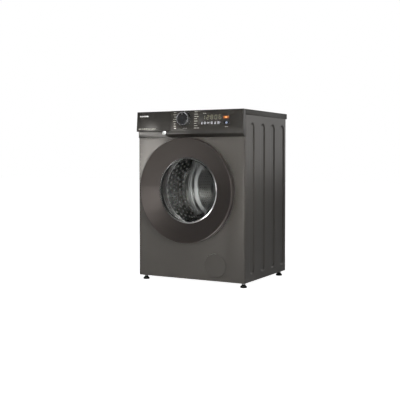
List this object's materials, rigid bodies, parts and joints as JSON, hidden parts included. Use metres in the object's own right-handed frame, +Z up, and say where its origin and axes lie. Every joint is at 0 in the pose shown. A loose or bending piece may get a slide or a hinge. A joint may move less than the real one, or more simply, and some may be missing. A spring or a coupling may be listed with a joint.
{
  "type": "front load washing machine",
  "caption": "Free-standing front load washing machine with a large round glass door, sloping control fascia, detergent drawer, suspended tub and belt-driven drum.",
  "frame": {"origin": "on the floor, under the middle of the machine's bounding box", "axes": "+X to the right seen from the front, +Y from the front to the rear, +Z up"},
  "size_m": [0.595, 0.568, 0.85],
  "materials": {
    "painted_grey": "satin painted steel",
    "worktop_grey": "board with a satin grey laminate",
    "fascia_dark": "satin gloss moulding",
    "ring_brown": "satin gloss moulding",
    "black_gloss": "polished black",
    "silver_ring": "bright plated",
    "bowl_glass": "clear moulded glass",
    "dark_plastic": "grained moulding",
    "grey_plastic": "grained moulding",
    "light_plastic": "smooth moulding",
    "galvanised": "zinc coated",
    "stainless": "brushed stainless",
    "lifter_grey": "grained moulding",
    "steel": "bright steel",
    "cast_alloy": "die cast",
    "motor_grey": "coated steel",
    "concrete": "cast concrete",
    "rubber": "moulded rubber",
    "start_amber": "back-lit amber",
    "power_white": "back-lit white",
    "board_green": "coated board"
  },
  "bodies": {
    "root": {"base_pan": "dark_plastic", "side_panel_left": "painted_grey", "side_panel_right": "painted_grey", "front_panel": "painted_grey", "rear_panel": "galvanised", "rear_cover": "galvanised", "top_frame": "galvanised", "worktop": "worktop_grey", "control_fascia": "fascia_dark", "display_lens": "black_gloss", "control_board": "board_green", "dispenser_housing": "light_plastic", "inlet_valve": "light_plastic", "inlet_hose": "rubber", "drain_hose": "rubber", "drain_spigot": "dark_plastic", "cable_gland": "dark_plastic", "door_lock": "dark_plastic", "hinge_bracket": "steel", "hinge_pin": "steel", "pump_housing": "grey_plastic", "foot_nuts": "steel", "cover_screws": "steel"},
    "door": {"door_ring": "ring_brown", "door_inner_frame": "grey_plastic", "door_glass": "bowl_glass", "door_trim_ring": "silver_ring", "hinge_arm": "steel", "latch_hook": "steel"},
    "drawer": {"drawer_tray": "light_plastic", "drawer_front": "fascia_dark"},
    "knob": {"knob": "black_gloss", "knob_ring": "silver_ring"},
    "start_button": {"start_button": "start_amber"},
    "power_button": {"power_button": "power_white"},
    "filter_flap": {"filter_flap": "painted_grey"},
    "pump_filter": {"pump_filter": "dark_plastic"},
    "pump_impeller": {"pump_impeller": "light_plastic"},
    "tub": {"tub_front": "light_plastic", "tub_rear": "light_plastic", "drum_bearings": "steel", "counterweights": "concrete", "heater": "steel", "motor": "motor_grey", "bellows": "rubber", "springs": "steel", "shock_absorbers": "dark_plastic", "fill_hose": "rubber", "sump_hose": "rubber", "drive_belt": "rubber"},
    "drum": {"drum_shell": "stainless", "drum_back": "stainless", "lifters": "lifter_grey", "drum_shaft": "cast_alloy", "drum_pulley": "cast_alloy"},
    "motor_rotor": {"motor_rotor": "steel"},
    "foot_front_left": {"foot_front_left": "dark_plastic"},
    "foot_front_right": {"foot_front_right": "dark_plastic"},
    "foot_rear_left": {"foot_rear_left": "dark_plastic"},
    "foot_rear_right": {"foot_rear_right": "dark_plastic"}
  },
  "joints": [
    {"name": "door_hinge", "type": "hinge", "parent": "root", "child": "door", "pos_m": [-0.24, -0.263, 0.461], "axis": [0, 0, -1], "range_deg": [0, 110]},
    {"name": "drawer_slide", "type": "slide", "parent": "root", "child": "drawer", "axis": [0, -1, 0], "range_m": [0, 0.19]},
    {"name": "knob_turn", "type": "hinge", "parent": "root", "child": "knob", "pos_m": [-0.022, -0.24642, 0.809], "axis": [0, -0.9965, 0.083], "continuous": true},
    {"name": "start_press", "type": "slide", "parent": "root", "child": "start_button", "axis": [0, 0.9965, -0.083], "range_m": [0, 0.0012], "stiffness_N_per_m": 500, "springref_m": -0.0003},
    {"name": "power_press", "type": "slide", "parent": "root", "child": "power_button", "axis": [0, 0.9965, -0.083], "range_m": [0, 0.0012], "stiffness_N_per_m": 500, "springref_m": -0.0003},
    {"name": "flap_hinge", "type": "hinge", "parent": "root", "child": "filter_flap", "pos_m": [0.141, -0.2332, 0.0426], "axis": [1, 0, 0], "range_deg": [0, 100]},
    {"name": "filter_turn", "type": "hinge", "parent": "root", "child": "pump_filter", "pos_m": [0.141, -0.211, 0.1], "axis": [0, -1, 0], "range_deg": [0, 90]},
    {"name": "impeller_spin", "type": "hinge", "parent": "root", "child": "pump_impeller", "pos_m": [0.141, -0.131, 0.1], "axis": [0, 1, 0], "continuous": true},
    {"name": "tub_float", "type": "slide", "parent": "root", "child": "tub", "axis": [0, 0, 1], "range_m": [-0.008, 0.008], "stiffness_N_per_m": 9000, "springref_m": 0.04733, "deforming": ["springs", "shock_absorbers", "fill_hose", "sump_hose", "bellows"]},
    {"name": "drum_spin", "type": "hinge", "parent": "tub", "child": "drum", "pos_m": [0, 0.169, 0.461], "axis": [0, 1, 0], "continuous": true},
    {"name": "motor_spin", "type": "hinge", "parent": "tub", "child": "motor_rotor", "pos_m": [0.06, 0.169, 0.121], "axis": [0, 1, 0], "continuous": true},
    {"name": "foot_front_left_screw", "type": "slide", "parent": "root", "child": "foot_front_left", "axis": [0, 0, -1], "range_m": [0, 0.012]},
    {"name": "foot_front_right_screw", "type": "slide", "parent": "root", "child": "foot_front_right", "axis": [0, 0, -1], "range_m": [0, 0.012]},
    {"name": "foot_rear_left_screw", "type": "slide", "parent": "root", "child": "foot_rear_left", "axis": [0, 0, -1], "range_m": [0, 0.012]},
    {"name": "foot_rear_right_screw", "type": "slide", "parent": "root", "child": "foot_rear_right", "axis": [0, 0, -1], "range_m": [0, 0.012]}
  ],
  "couplings": [
    {"joint": "motor_spin", "follows": "drum_spin", "ratio": 11.667}
  ]
}
